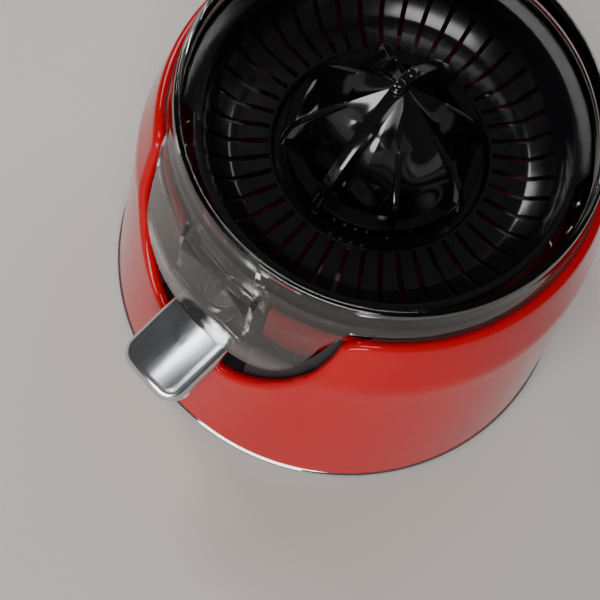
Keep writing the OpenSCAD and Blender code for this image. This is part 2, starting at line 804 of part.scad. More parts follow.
module drip_stopper() {
    color("white") {
        translate([0, tube_y, pivot_z + pad_top - 3.4]) cylinder(r = 6.2, h = 3.4);
        translate([0, tube_y, pivot_z + pad_top - 4.7]) cylinder(r = 2.95, h = 2);
    }
}

module spout_pin() {
    color("silver") translate([-sump_half + 0.2, pivot_y, pivot_z]) rotate([0, 90, 0])
        cylinder(r = 1.5, h = 2 * sump_half - 0.4);
}

base_plate();
foot_ring();
base_ring();
shell();
well();
spout_bay();
rim_gasket();
cord_gland();
motor_can();
motor_cap();
motor_magnets();
motor_bushes();
motor_rotor();
pinion();
idler_gear();
idler_axle();
output_gear();
gearbox_housing();
gearbox_lid();
gearbox_mounts();
spindle();
spindle_bushes();
spindle_seal();
return_spring();
micro_switch();
switch_plunger();
circuit_board();
board_parts();
terminal_block();
base_screws();
gearbox_screws();
motor_screws();
board_screws();
bowl();
strainer();
reamer();
spout_hood();
spout_chute();
spout_pin();
drip_stopper();
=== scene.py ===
"""Looks of an electric citrus press: red moulded body, clear bowl, black sieve and reamer, steel spout."""
import json
import logging
import math
from contextlib import contextmanager
from dataclasses import dataclass
from enum import Enum
from typing import Callable, Iterable, Iterator, Sequence

import bpy
from mathutils import Matrix, Vector


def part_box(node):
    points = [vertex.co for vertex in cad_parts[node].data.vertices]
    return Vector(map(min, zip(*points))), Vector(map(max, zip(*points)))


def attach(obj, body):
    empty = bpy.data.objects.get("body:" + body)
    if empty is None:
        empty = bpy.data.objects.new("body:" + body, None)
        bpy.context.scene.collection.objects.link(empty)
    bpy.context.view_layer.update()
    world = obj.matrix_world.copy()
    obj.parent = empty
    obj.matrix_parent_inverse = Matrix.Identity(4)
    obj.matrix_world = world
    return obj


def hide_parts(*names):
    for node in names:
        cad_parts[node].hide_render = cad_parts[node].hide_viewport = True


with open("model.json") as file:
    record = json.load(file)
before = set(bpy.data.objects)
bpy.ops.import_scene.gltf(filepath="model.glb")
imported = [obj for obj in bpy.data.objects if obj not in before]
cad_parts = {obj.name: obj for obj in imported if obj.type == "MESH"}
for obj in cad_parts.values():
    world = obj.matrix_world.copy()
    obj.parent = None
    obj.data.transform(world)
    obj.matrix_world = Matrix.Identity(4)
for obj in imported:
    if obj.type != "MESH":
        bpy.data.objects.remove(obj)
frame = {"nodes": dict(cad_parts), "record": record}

LOG = logging.getLogger("citrus_press")
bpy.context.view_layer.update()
MM = 0.001
ALONG_X = (0, math.pi / 2, 0)
# A Mix node's colour sockets, which share their names with its other sockets.
MIX_DARK, MIX_LIGHT, MIX_RESULT = 6, 7, 2
Outline = list[tuple[float, float]]
Tree, Node, Socket, Piece = bpy.types.NodeTree, bpy.types.Node, bpy.types.NodeSocket, bpy.types.Object


class Body(str, Enum):
    """The rigid bodies that new pieces ride on."""

    CHASSIS = "chassis"
    BOWL = "bowl"
    SIEVE = "sieve"
    CONE = "cone"
    SPOUT = "spout"


class Joining(str, Enum):
    """How one solid is combined with another."""

    CUT = "DIFFERENCE"
    WELD = "UNION"


# ---------------------------------------------------------------- small tools
def linear(code: str) -> tuple[float, float, float, float]:
    """Turn an sRGB hex colour into the linear values that a shader takes.

    Args:
        code: Six hex digits after a hash sign.

    Returns:
        Red, green, blue and full alpha.
    """
    parts = [int(code[i:i + 2], 16) / 255 for i in (1, 3, 5)]
    red, green, blue = [c / 12.92 if c <= 0.04045 else ((c + 0.055) / 1.055) ** 2.4 for c in parts]
    return red, green, blue, 1.0


def add_node(tree: Tree, kind: str, settings: dict | None = None,
             values: dict | None = None, links: dict | None = None) -> Node:
    """Add one node with its settings, socket values and incoming links.

    Args:
        tree: The material's node tree.
        kind: The node's type name.
        settings: Attributes of the node itself.
        values: Constant values by input socket.
        links: Output sockets by the input socket that they feed.

    Returns:
        The new node.
    """
    node = tree.nodes.new(kind)
    for key, value in (settings or {}).items():
        setattr(node, key, value)
    for key, value in (values or {}).items():
        node.inputs[key].default_value = value
    for key, socket in (links or {}).items():
        tree.links.new(socket, node.inputs[key])
    return node


def smoothstep(low: float, high: float, value: float) -> float:
    """Return 0 below low, 1 above high and an eased value between them."""
    t = min(1.0, max(0.0, (value - low) / (high - low)))
    return t * t * (3 - 2 * t)


# ---------------------------------------------------------------- finishes
@dataclass(frozen=True)
class Finish:
    """A named surface finish. Subclasses wire the nodes that give its look."""

    name: str
    colour: str = "#808080"
    roughness: float = 0.4
    ior: float = 1.5

    def wire(self, tree: Tree, shader: Node, place: Socket) -> None:
        """Add the finish's own nodes.

        Args:
            tree: The material's node tree.
            shader: Its Principled node.
            place: Object coordinates in metres.
        """

    def make(self) -> bpy.types.Material:
        """Build the material once and reuse it afterwards.

        Returns:
            The material.
        """
        known = bpy.data.materials.get(self.name)
        if known:
            return known
        material = bpy.data.materials.new(self.name)
        material.use_nodes = True
        material.diffuse_color = linear(self.colour)
        tree = material.node_tree
        tree.nodes.clear()
        place = add_node(tree, "ShaderNodeTexCoord").outputs["Object"]
        shader = add_node(tree, "ShaderNodeBsdfPrincipled", values={
            "Base Color": linear(self.colour), "Roughness": self.roughness, "IOR": self.ior})
        add_node(tree, "ShaderNodeOutputMaterial", links={"Surface": shader.outputs[0]})
        self.wire(tree, shader, place)
        return material

    def dress(self, piece: Piece) -> None:
        """Put the finish on every material slot of a piece."""
        material = self.make()
        if not piece.material_slots:
            piece.data.materials.append(material)
        for holder in piece.material_slots:
            holder.material = material


def vary_colour(tree: Tree, shader: Node, signal: Socket,
                dark: str, light: str) -> None:
    """Drive the base colour between two shades.

    Args:
        tree: The material's node tree.
        shader: Its Principled node.
        signal: A value from 0 to 1.
        dark: Shade at 0.
        light: Shade at 1.
    """
    mix = add_node(tree, "ShaderNodeMix", {"data_type": "RGBA"},
                   {MIX_DARK: linear(dark), MIX_LIGHT: linear(light)}, {"Factor": signal})
    tree.links.new(mix.outputs[MIX_RESULT], shader.inputs["Base Color"])


def vary_roughness(tree: Tree, shader: Node, signal: Socket,
                   low: float, high: float) -> None:
    """Drive the roughness between two values.

    Args:
        tree: The material's node tree.
        shader: Its Principled node.
        signal: A value from 0 to 1.
        low: Roughness at 0.
        high: Roughness at 1.
    """
    span = add_node(tree, "ShaderNodeMapRange", values={"To Min": low, "To Max": high},
                    links={"Value": signal})
    tree.links.new(span.outputs["Result"], shader.inputs["Roughness"])


def noise(tree: Tree, place: Socket, size_mm: float, detail: float = 3.0,
          stretch: Sequence[float] = (1, 1, 1)) -> Socket:
    """Make cloudy variation of a real size.

    Args:
        tree: The material's node tree.
        place: Object coordinates in metres.
        size_mm: Size of one cloud.
        detail: Octaves of finer clouds.
        stretch: Scale along each axis; a small value makes streaks along it.

    Returns:
        A value around one half.
    """
    spread = add_node(tree, "ShaderNodeMapping", values={"Scale": tuple(stretch)}, links={"Vector": place})
    return add_node(tree, "ShaderNodeTexNoise", values={"Scale": 1000 / size_mm, "Detail": detail},
                    links={"Vector": spread.outputs[0]}).outputs[0]


def relief(tree: Tree, shader: Node, height: Socket,
           depth_mm: float, strength: float, below: Socket | None = None) -> Socket:
    """Bump the surface.

    Args:
        tree: The material's node tree.
        shader: Its Principled node.
        height: A value from 0 to 1.
        depth_mm: Depth at 1.
        strength: Share of the bump that shows.
        below: A coarser bump to add to.

    Returns:
        The bumped normal.
    """
    bump = add_node(tree, "ShaderNodeBump", values={"Strength": strength, "Distance": depth_mm * MM},
                    links={"Height": height})
    if below is not None:
        tree.links.new(below, bump.inputs["Normal"])
    tree.links.new(bump.outputs[0], shader.inputs["Normal"])
    return bump.outputs[0]


@dataclass(frozen=True)
class GlossMoulding(Finish):
    """Injection-moulded ABS from a polished tool: deep gloss, faint waviness, a trace of handling haze."""

    shade: str = "#808080"
    haze: float = 0.1
    wave_mm: float = 9.0
    shine: float = 0.5

    def wire(self, tree: Tree, shader: Node, place: Socket) -> None:
        """Cloud the colour and the gloss, and ripple the surface slightly."""
        vary_colour(tree, shader, noise(tree, place, 28, 4), self.shade, self.colour)
        vary_roughness(tree, shader, noise(tree, place, 6, 6), self.roughness, self.roughness + self.haze)
        wave = relief(tree, shader, noise(tree, place, self.wave_mm, 1), 0.05, 0.25)
        relief(tree, shader, noise(tree, place, 0.7, 2), 0.006, 0.35, wave)
        shader.inputs["Specular IOR Level"].default_value = self.shine


@dataclass(frozen=True)
class GrainMoulding(Finish):
    """Plastic moulded against spark-eroded steel: an even, fine matt grain."""

    shade: str = "#606060"
    grain_mm: float = 0.9

    def wire(self, tree: Tree, shader: Node, place: Socket) -> None:
        """Pit the surface and let the gloss wander; the grain is drawn coarser than life so that it shows."""
        pits = add_node(tree, "ShaderNodeTexVoronoi", values={"Scale": 1000 / self.grain_mm},
                        links={"Vector": place})
        soft = relief(tree, shader, noise(tree, place, 5, 3), 0.03, 0.3)
        relief(tree, shader, pits.outputs["Distance"], 0.03, 0.4, soft)
        clouds = noise(tree, place, 12, 4)
        vary_colour(tree, shader, clouds, self.shade, self.colour)
        vary_roughness(tree, shader, clouds, self.roughness - 0.06, self.roughness + 0.1)


@dataclass(frozen=True)
class ClearMoulding(Finish):
    """Clear SAN with a slight smoky cast: sharp gloss, faint flow waves left by moulding."""

    def wire(self, tree: Tree, shader: Node, place: Socket) -> None:
        """Make the plastic transmit and bend light."""
        shader.inputs["Transmission Weight"].default_value = 1.0
        relief(tree, shader, noise(tree, place, 34, 1), 0.05, 0.12)
        vary_roughness(tree, shader, noise(tree, place, 12, 4), self.roughness, self.roughness + 0.03)


@dataclass(frozen=True)
class Metal(Finish):
    """Bare or plated metal with streaks left by brushing, turning or grinding."""

    shade: str = "#707070"
    streak_mm: float = 0.5
    along: tuple[float, float, float] = (1, 1, 1)
    spread: float = 0.15
    brushed: float = 0.0
    depth_mm: float = 0.01

    def wire(self, tree: Tree, shader: Node, place: Socket) -> None:
        """Streak the gloss along one direction and darken the metal in soft patches."""
        shader.inputs["Metallic"].default_value = 1.0
        shader.inputs["Anisotropic"].default_value = self.brushed
        streaks = noise(tree, place, self.streak_mm, 3, self.along)
        vary_roughness(tree, shader, streaks, self.roughness, self.roughness + self.spread)
        vary_colour(tree, shader, noise(tree, place, 14, 4, self.along), self.shade, self.colour)
        relief(tree, shader, streaks, self.depth_mm, 0.3)


@dataclass(frozen=True)
class SoftRubber(Finish):
    """Moulded rubber or silicone: soft sheen and a dusty, slightly uneven face."""

    shade: str = "#202020"
    glow: float = 0.0

    def wire(self, tree: Tree, shader: Node, place: Socket) -> None:
        """Let a little light in where the rubber is pale, and grain the face."""
        shader.inputs["Subsurface Weight"].default_value = self.glow
        shader.inputs["Subsurface Scale"].default_value = 0.002
        vary_colour(tree, shader, noise(tree, place, 7, 5), self.shade, self.colour)
        relief(tree, shader, noise(tree, place, 0.8, 3), 0.03, 0.45)


@dataclass(frozen=True)
class Winding(Finish):
    """Varnished copper wire laid in even turns."""

    shade: str = "#4a2412"
    band_scale: float = 62.5  # the wave node then draws one band in about 5 mm

    def wire(self, tree: Tree, shader: Node, place: Socket) -> None:
        """Draw layers of turns as bands round the axis, far coarser than single wires."""
        bands = add_node(tree, "ShaderNodeTexWave", {"bands_direction": "Z"},
                         {"Scale": self.band_scale, "Distortion": 0.6}, {"Vector": place})
        shader.inputs["Metallic"].default_value = 0.8
        vary_colour(tree, shader, bands.outputs["Fac"], self.shade, self.colour)
        relief(tree, shader, bands.outputs["Fac"], 0.2, 0.5)


RED_BODY = GlossMoulding("red_abs_polished", "#b40410", 0.06, 1.5, shade="#a3030d", haze=0.05, shine=0.2)
BLACK_CONE = GlossMoulding("black_abs_polished", "#09090b", 0.06, 1.53, shade="#060607", haze=0.08,
                           wave_mm=18)
BLACK_SIEVE = GlossMoulding("black_pp_semi_gloss", "#0d0d10", 0.12, 1.5, shade="#0b0b0d", haze=0.14,
                             wave_mm=7)
CLEAR_BOWL = ClearMoulding("clear_san_smoked", "#cdccca", 0.015, 1.5)
BLACK_GRAIN = GrainMoulding("black_pp_grained", "#131315", 0.5, 1.49, shade="#0c0c0d")
GREY_GRAIN = GrainMoulding("grey_pa_grained", "#8d8f90", 0.5, 1.53, shade="#7b7d7e")
IVORY_NYLON = GrainMoulding("natural_nylon_moulded", "#e3dcc8", 0.36, 1.53, shade="#d4ccb4", grain_mm=2.0)
BOARD_GREEN = GrainMoulding("solder_masked_laminate", "#12552b", 0.35, 1.5, shade="#0c421f", grain_mm=3.0)
BLUE_EPOXY = GlossMoulding("epoxy_dip_blue", "#1d3f8f", 0.2, 1.5, shade="#173277", haze=0.1)
CHROME = Metal("chrome_plate", "#e4e5e8", 0.03, 1.5, shade="#d8dade", streak_mm=3, spread=0.05,
               depth_mm=0.004)
SPOUT_STEEL = Metal("stainless_satin_polish", "#d2d4d8", 0.14, 1.5, shade="#bfc1c6", streak_mm=0.35,
                    along=(1, 0.03, 0.06), spread=0.13, brushed=0.35, depth_mm=0.008)
ZINC_STEEL = Metal("steel_zinc_plated", "#b9bcc0", 0.32, 1.5, shade="#9fa2a6", streak_mm=1.2, spread=0.2)
GROUND_STEEL = Metal("steel_ground", "#c6c8cb", 0.2, 1.5, shade="#aeb1b5", streak_mm=0.4,
                     along=(1, 1, 0.15), brushed=0.3)
BRONZE = Metal("bronze_sintered", "#b08650", 0.38, 1.5, shade="#94703f", streak_mm=0.8, spread=0.2)
FERRITE = Metal("ferrite_pressed", "#3c3d40", 0.55, 1.5, shade="#303134", streak_mm=0.9, spread=0.2)
BLACK_RUBBER = SoftRubber("black_nitrile_moulded", "#151516", 0.62, 1.52, shade="#0e0e0f")
WHITE_SILICONE = SoftRubber("white_silicone_moulded", "#e9e7e0", 0.38, 1.41, shade="#dcdad1", glow=0.25)
COPPER_CORE = Winding("varnished_winding", "#a9633a", 0.35)

SLOT_FINISH: dict[str, Finish] = {
    "red_body": RED_BODY, "clear_bowl": CLEAR_BOWL, "black_gloss": BLACK_SIEVE, "black_matte": BLACK_GRAIN,
    "rubber_black": BLACK_RUBBER, "silicone_white": WHITE_SILICONE, "chrome_trim": CHROME,
    "spout_steel": SPOUT_STEEL, "zinc_steel": ZINC_STEEL, "ground_steel": GROUND_STEEL, "bronze": BRONZE,
    "copper_core": COPPER_CORE, "magnet_grey": FERRITE, "gear_nylon": IVORY_NYLON,
    "housing_grey": GREY_GRAIN, "board_green": BOARD_GREEN, "component_blue": BLUE_EPOXY,
}


# ---------------------------------------------------------------- bench: modelling steps
def start_clean() -> None:
    """Leave edit mode and deselect everything."""
    if bpy.context.object and bpy.context.object.mode != "OBJECT":
        bpy.ops.object.mode_set(mode="OBJECT")
    bpy.ops.object.select_all(action="DESELECT")


def pick(piece: Piece) -> None:
    """Select one piece alone and make it active."""
    start_clean()
    piece.select_set(True)
    bpy.context.view_layer.objects.active = piece


def settle(piece: Piece) -> Piece:
    """Apply a piece's place to its mesh, so that its object sits at the origin."""
    pick(piece)
    bpy.ops.object.transform_apply(location=True, rotation=True, scale=True)
    return piece


@contextmanager
def all_points(piece: Piece) -> Iterator[None]:
    """Open a piece in edit mode with all of it selected, and close it afterwards."""
    pick(piece)
    bpy.ops.object.mode_set(mode="EDIT")
    bpy.ops.mesh.select_all(action="SELECT")
    yield
    bpy.ops.object.mode_set(mode="OBJECT")


def added(name: str) -> Piece:
    """Name the primitive that was just added and return it."""
    piece = bpy.context.object
    piece.name = piece.data.name = name
    return piece


def tidy_mesh(piece: Piece, gap_mm: float = 0.002, face_out: bool = True) -> None:
    """Merge doubled points and, if asked, turn all faces outwards.

    Args:
        piece: The piece to tidy.
        gap_mm: Points closer than this are merged.
        face_out: Whether the normals are recalculated.
    """
    with all_points(piece):
        bpy.ops.mesh.remove_doubles(threshold=gap_mm * MM)
        if face_out:
            bpy.ops.mesh.normals_make_consistent(inside=False)


def thicken(piece: Piece, thick_mm: float, core: Sequence[float]) -> None:
    """Give a sheet its thickness on the side of a core point, and face the solid outwards.

    Args:
        piece: The open sheet.
        thick_mm: Thickness in millimetres.
        core: A point in millimetres on the sheet's inner side.
    """
    centre = Vector(core) * MM
    if sum(face.normal.dot(face.center - centre) * face.area for face in piece.data.polygons) < 0:
        with all_points(piece):
            bpy.ops.mesh.flip_normals()
    finish_with(piece, "SOLIDIFY", thickness=thick_mm * MM, offset=-1, use_even_offset=True)
    tidy_mesh(piece)


def smooth(piece: Piece, angle: float = 32) -> Piece:
    """Shade a piece smooth, with edges sharper than the angle kept crisp."""
    pick(piece)
    bpy.ops.object.shade_smooth_by_angle(angle=math.radians(angle))
    return piece


def finish_with(piece: Piece, kind: str, **settings: object) -> None:
    """Add one modifier and apply it.

    Args:
        piece: The piece to change.
        kind: The modifier's type name.
        **settings: Attributes of the modifier.
    """
    pick(piece)
    modifier = piece.modifiers.new(kind.title(), kind)
    for key, value in settings.items():
        setattr(modifier, key, value)
    bpy.ops.object.modifier_apply(modifier=modifier.name)


def round_edges(piece: Piece, width_mm: float, segments: int = 2, angle: float = 32) -> None:
    """Round the edges of a piece that are sharper than the angle.

    Args:
        piece: The piece to round.
        width_mm: Width of the rounding.
        segments: Faces across it.
        angle: Smallest angle in degrees that counts as an edge.
    """
    finish_with(piece, "BEVEL", width=width_mm * MM, segments=segments, limit_method="ANGLE",
                angle_limit=math.radians(angle), use_clamp_overlap=True)


def combine(piece: Piece, tool: Piece, how: Joining) -> None:
    """Cut a tool out of a piece or weld it on, and remove the tool.

    Args:
        piece: The piece that is kept.
        tool: The solid that is used up.
        how: Whether to cut or to weld.
    """
    finish_with(piece, "BOOLEAN", object=tool, operation=how.value, solver="EXACT",
                use_self=how is Joining.WELD)
    bpy.data.objects.remove(tool, do_unlink=True)


def join(name: str, parts: Sequence[Piece]) -> Piece:
    """Join several solids into one piece.

    Args:
        name: The piece's name.
        parts: The solids, the first of which is kept.

    Returns:
        The joined piece.
    """
    start_clean()
    for part in parts:
        part.select_set(True)
    bpy.context.view_layer.objects.active = parts[0]
    bpy.ops.object.join()
    parts[0].name = parts[0].data.name = name
    return parts[0]


def turn(name: str, outline: Outline, steps: int = 160) -> Piece:
    """Turn a closed outline round the Z axis: a ring is extruded and scaled from point to point.

    Args:
        name: The piece's name.
        outline: Radius and height of each point in millimetres.
        steps: Corners round the axis.

    Returns:
        The turned solid.
    """
    start_clean()
    radius, height = outline[0]
    bpy.ops.mesh.primitive_circle_add(vertices=steps, radius=radius * MM, location=(0, 0, height * MM))
    piece = added(name)
    bpy.ops.object.transform_apply(location=True)
    with all_points(piece):
        for (r_from, z_from), (r_to, z_to) in zip(outline, outline[1:] + outline[:1]):
            bpy.ops.mesh.extrude_edges_move(TRANSFORM_OT_translate={"value": (0, 0, (z_to - z_from) * MM)})
            bpy.ops.transform.resize(value=(r_to / r_from, r_to / r_from, 1),
                                     center_override=(0, 0, z_to * MM))
    tidy_mesh(piece)
    return piece


def block(name: str, low: Sequence[float], high: Sequence[float]) -> Piece:
    """Add a block between two corners given in millimetres."""
    start_clean()
    size = [b - a for a, b in zip(low, high)]
    bpy.ops.mesh.primitive_cube_add(size=1, location=[(a + b) / 2 * MM for a, b in zip(low, high)],
                                    scale=[s * MM for s in size])
    return settle(added(name))


def rod(sides: int, radius: float, length: float, centre: Sequence[float],
        lie: Sequence[float] = (0, 0, 0)) -> Piece:
    """Add a straight bar, upright unless it is turned.

    Args:
        sides: Corners round it.
        radius: Radius in millimetres.
        length: Length in millimetres.
        centre: Its middle in millimetres.
        lie: Turn about each axis in radians.

    Returns:
        The bar.
    """
    start_clean()
    bpy.ops.mesh.primitive_cylinder_add(vertices=sides, radius=radius * MM, depth=length * MM,
                                        location=[c * MM for c in centre], rotation=lie)
    return settle(bpy.context.object)


def drape(name: str, columns: int, rows: int, place: Callable[[float, float], Vector]) -> Piece:
    """Shape a grid by a rule, for doubly curved skins that no chain of extrusions gives.

    Args:
        name: The piece's name.
        columns: Faces along the first direction.
        rows: Faces along the second direction.
        place: Gives a point in millimetres for two shares from 0 to 1.

    Returns:
        The skin, its seam merged where both ends meet.
    """
    start_clean()
    bpy.ops.mesh.primitive_grid_add(x_subdivisions=columns, y_subdivisions=rows, size=1)
    piece = added(name)
    for point in piece.data.vertices:
        point.co = place(point.co.x + 0.5, point.co.y + 0.5) * MM
    tidy_mesh(piece, face_out=False)
    return piece


def plate(name: str, outline: Outline, thick: float) -> Piece:
    """Make an upright plate in the XZ plane, its thickness shared to both sides of it.

    Args:
        name: The piece's name.
        outline: X and Z of each corner in millimetres.
        thick: Thickness in millimetres.

    Returns:
        The plate.
    """
    start_clean()
    bpy.ops.mesh.primitive_circle_add(vertices=len(outline), radius=1, fill_type="NGON")
    piece = added(name)
    for point, (x, z) in zip(piece.data.vertices, outline):
        point.co = Vector((x, -thick / 2, z)) * MM
    with all_points(piece):
        bpy.ops.mesh.extrude_region_move(TRANSFORM_OT_translate={"value": (0, thick * MM, 0)})
        bpy.ops.mesh.select_all(action="SELECT")
        bpy.ops.mesh.normals_make_consistent(inside=False)
    return piece


def copy_of(node: str, name: str) -> Piece:
    """Copy a CAD node's mesh as the start of a finer piece, with its loose triangles merged.

    Args:
        node: The CAD node.
        name: The new piece's name.

    Returns:
        The copy.
    """
    source = frame["nodes"][node]
    piece = bpy.data.objects.new(name, source.data.copy())
    piece.data.name = name
    piece.data.materials.clear()
    bpy.context.scene.collection.objects.link(piece)
    tidy_mesh(piece, 0.004, face_out=False)
    pick(piece)
    bpy.ops.mesh.customdata_custom_splitnormals_clear()
    with all_points(piece):
        bpy.ops.mesh.dissolve_limited(angle_limit=math.radians(0.4))
    return piece


def spin_about_axis(piece: Piece, angle: float) -> Piece:
    """Turn a piece's mesh round the Z axis by an angle in degrees."""
    piece.data.transform(Matrix.Rotation(math.radians(angle), 4, "Z"))
    return piece


def hand_over(piece: Piece, body: Body, finish: Finish, nodes: Iterable[str] = ()) -> None:
    """Dress a finished piece and tie it to the frame.

    Args:
        piece: The finished piece.
        body: The rigid body it moves with.
        finish: Its surface.
        nodes: CAD nodes that it stands for.
    """
    finish.dress(piece)
    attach(piece, body.value)
    for node in nodes:
        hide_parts(node)
    LOG.info("%s: %d faces on %s", piece.name, len(piece.data.polygons), body.value)


# ---------------------------------------------------------------- body
@dataclass
class Housing:
    """Red body: flared wall with a front notch and a rolled lip along its edge."""

    shoulder_radius: float = 92.0
    shoulder_depth: float = 50.0
    shoulder_lean: float = 0.2
    shoulder_blend: float = 9.0
    flare_power: float = 1.2
    foot_height: float = 3.4
    notch_half: float = 51.0
    notch_depth: float = 63.4
    notch_centre: float = 25.2
    notch_flat: float = 84.0
    flare: float = 7.0
    roll: float = 2.5
    wall_thick: float = 2.6
    rim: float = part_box("bowl")[1].z / MM
    foot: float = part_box("shell")[0].z / MM
    lip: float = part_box("shell")[1].z / MM
    base_radius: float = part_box("shell")[1].x / MM + 0.2

    def radius(self, z: float) -> float:
        """Return the outer radius of the wall at a height, all in millimetres."""
        depth = self.rim - z
        flared = max(0.0, depth - self.shoulder_depth) / (self.rim - self.foot_height - self.shoulder_depth)
        wall = self.shoulder_radius + (self.base_radius - self.shoulder_radius) * flared ** self.flare_power
        slope = self.shoulder_radius - self.shoulder_lean * (self.shoulder_depth - depth)
        low, high = self.shoulder_depth - self.shoulder_blend, self.shoulder_depth + self.shoulder_blend
        blend = smoothstep(low, high, depth)
        return slope * (1 - blend) + wall * blend

    def point(self, angle: float, z: float, inward: float = 0.0) -> Vector:
        """Return a point of the wall; the angle is in radians from the spout towards +X."""
        r = self.radius(z) - inward
        return Vector((r * math.sin(angle), -r * math.cos(angle), z))

    def edge(self) -> Outline:
        """Trace the lip round the body.

        Returns:
            Angle and height of evenly spaced points, from the back over the +X side to the front and on.
        """
        flat_steps, arc_steps, flare_steps, lip_steps, spans = 12, 40, 10, 100, 130
        low = self.rim - self.notch_flat
        centre = self.rim - self.notch_centre
        corner = math.acos((centre - low) / self.notch_depth)
        flat_half = self.notch_half * math.sin(corner)
        half: Outline = [(flat_half * i / flat_steps, low) for i in range(flat_steps)]
        for i in range(arc_steps + 1):
            a = corner + (math.pi / 2 - corner) * i / arc_steps
            half.append((self.notch_half * math.sin(a), centre - self.notch_depth * math.cos(a)))
        rise = self.lip - centre
        half += [(self.notch_half + self.flare * (1 - math.cos(a)), centre + rise * math.sin(a))
                 for a in [math.pi / 2 * i / flare_steps for i in range(1, flare_steps + 1)]]
        path = [(math.asin(x / self.radius(z)), z) for x, z in half]
        last = path[-1][0]
        path += [(last + (math.pi - last) * i / lip_steps, self.lip) for i in range(1, lip_steps + 1)]
        return self.even(path, spans)

    def even(self, path: Outline, count: int) -> Outline:
        """Space a path's points evenly and soften its corners.

        Args:
            path: Angle and height of the traced points.
            count: Number of spans to divide it into.

        Returns:
            The evenly spaced points of one half, mirrored to the whole turn.
        """
        spots = [self.point(a, z) for a, z in path]
        run = [0.0]
        for before, after in zip(spots, spots[1:]):
            run.append(run[-1] + (after - before).length)
        half, k = [], 0
        for i in range(count + 1):
            goal = run[-1] * i / count
            while k < len(run) - 2 and run[k + 1] < goal:
                k += 1
            t = (goal - run[k]) / (run[k + 1] - run[k])
            half.append(tuple(a + (b - a) * t for a, b in zip(path[k], path[k + 1])))
        whole = [(-a, z) for a, z in reversed(half[1:])] + half[:-1]
        n, passes = len(whole), 5
        for _ in range(passes):
            whole = [(whole[i][0], (whole[i - 1][1] + 2 * whole[i][1] + whole[(i + 1) % n][1]) / 4)
                     for i in range(n)]
        return whole

    def wall(self) -> Piece:
        """Build the outer wall with its rolled lip.

        Returns:
            The wall, closed by its inner face.
        """
        edge = self.edge()
        n = len(edge)
        wall_rows, roll_rows = 30, 12
        rows = 2 * wall_rows + roll_rows + 1
        spots = [self.point(a, z) for a, z in edge]

        def place(u: float, v: float) -> Vector:
            """Give a point for a share of the turn and a share of the section."""
            i = round(u * n) % n
            row = round(v * rows)
            angle, z = edge[i]
            along = (spots[(i + 1) % n] - spots[i - 1]).normalized()
            lean = (self.radius(z + 1) - self.radius(z - 1)) / 2
            out = Vector((math.sin(angle), -math.cos(angle), -lean)).normalized()
            up = out.cross(along).normalized()
            start = spots[i] - up * self.roll
            if row <= wall_rows or row > wall_rows + roll_rows:
                inside = row > wall_rows + roll_rows
                share = (rows - 1 - row) / wall_rows if inside else row / wall_rows
                inward = 0.0
                if inside:
                    inward = self.wall_thick + (2 * self.roll - self.wall_thick) * smoothstep(0.9, 1, share)
                if row == rows:
                    share = inward = 0
                top_angle = math.atan2(start.x, -start.y)
                turn_by = (top_angle - angle + math.pi) % (2 * math.pi) - math.pi
                height = self.foot + (start.z - self.foot) * share
                return self.point(angle + turn_by * share, height, inward)
            a = math.pi * (row - wall_rows) / roll_rows
            return start + up * self.roll * math.sin(a) - out * self.roll * (1 - math.cos(a))

        piece = drape("body_wall", n, rows, place)
        tidy_mesh(piece)
        return smooth(piece, 50)

    def build(self) -> None:
        """Make and dress the body."""
        hand_over(self.wall(), Body.CHASSIS, RED_BODY, ["shell"])


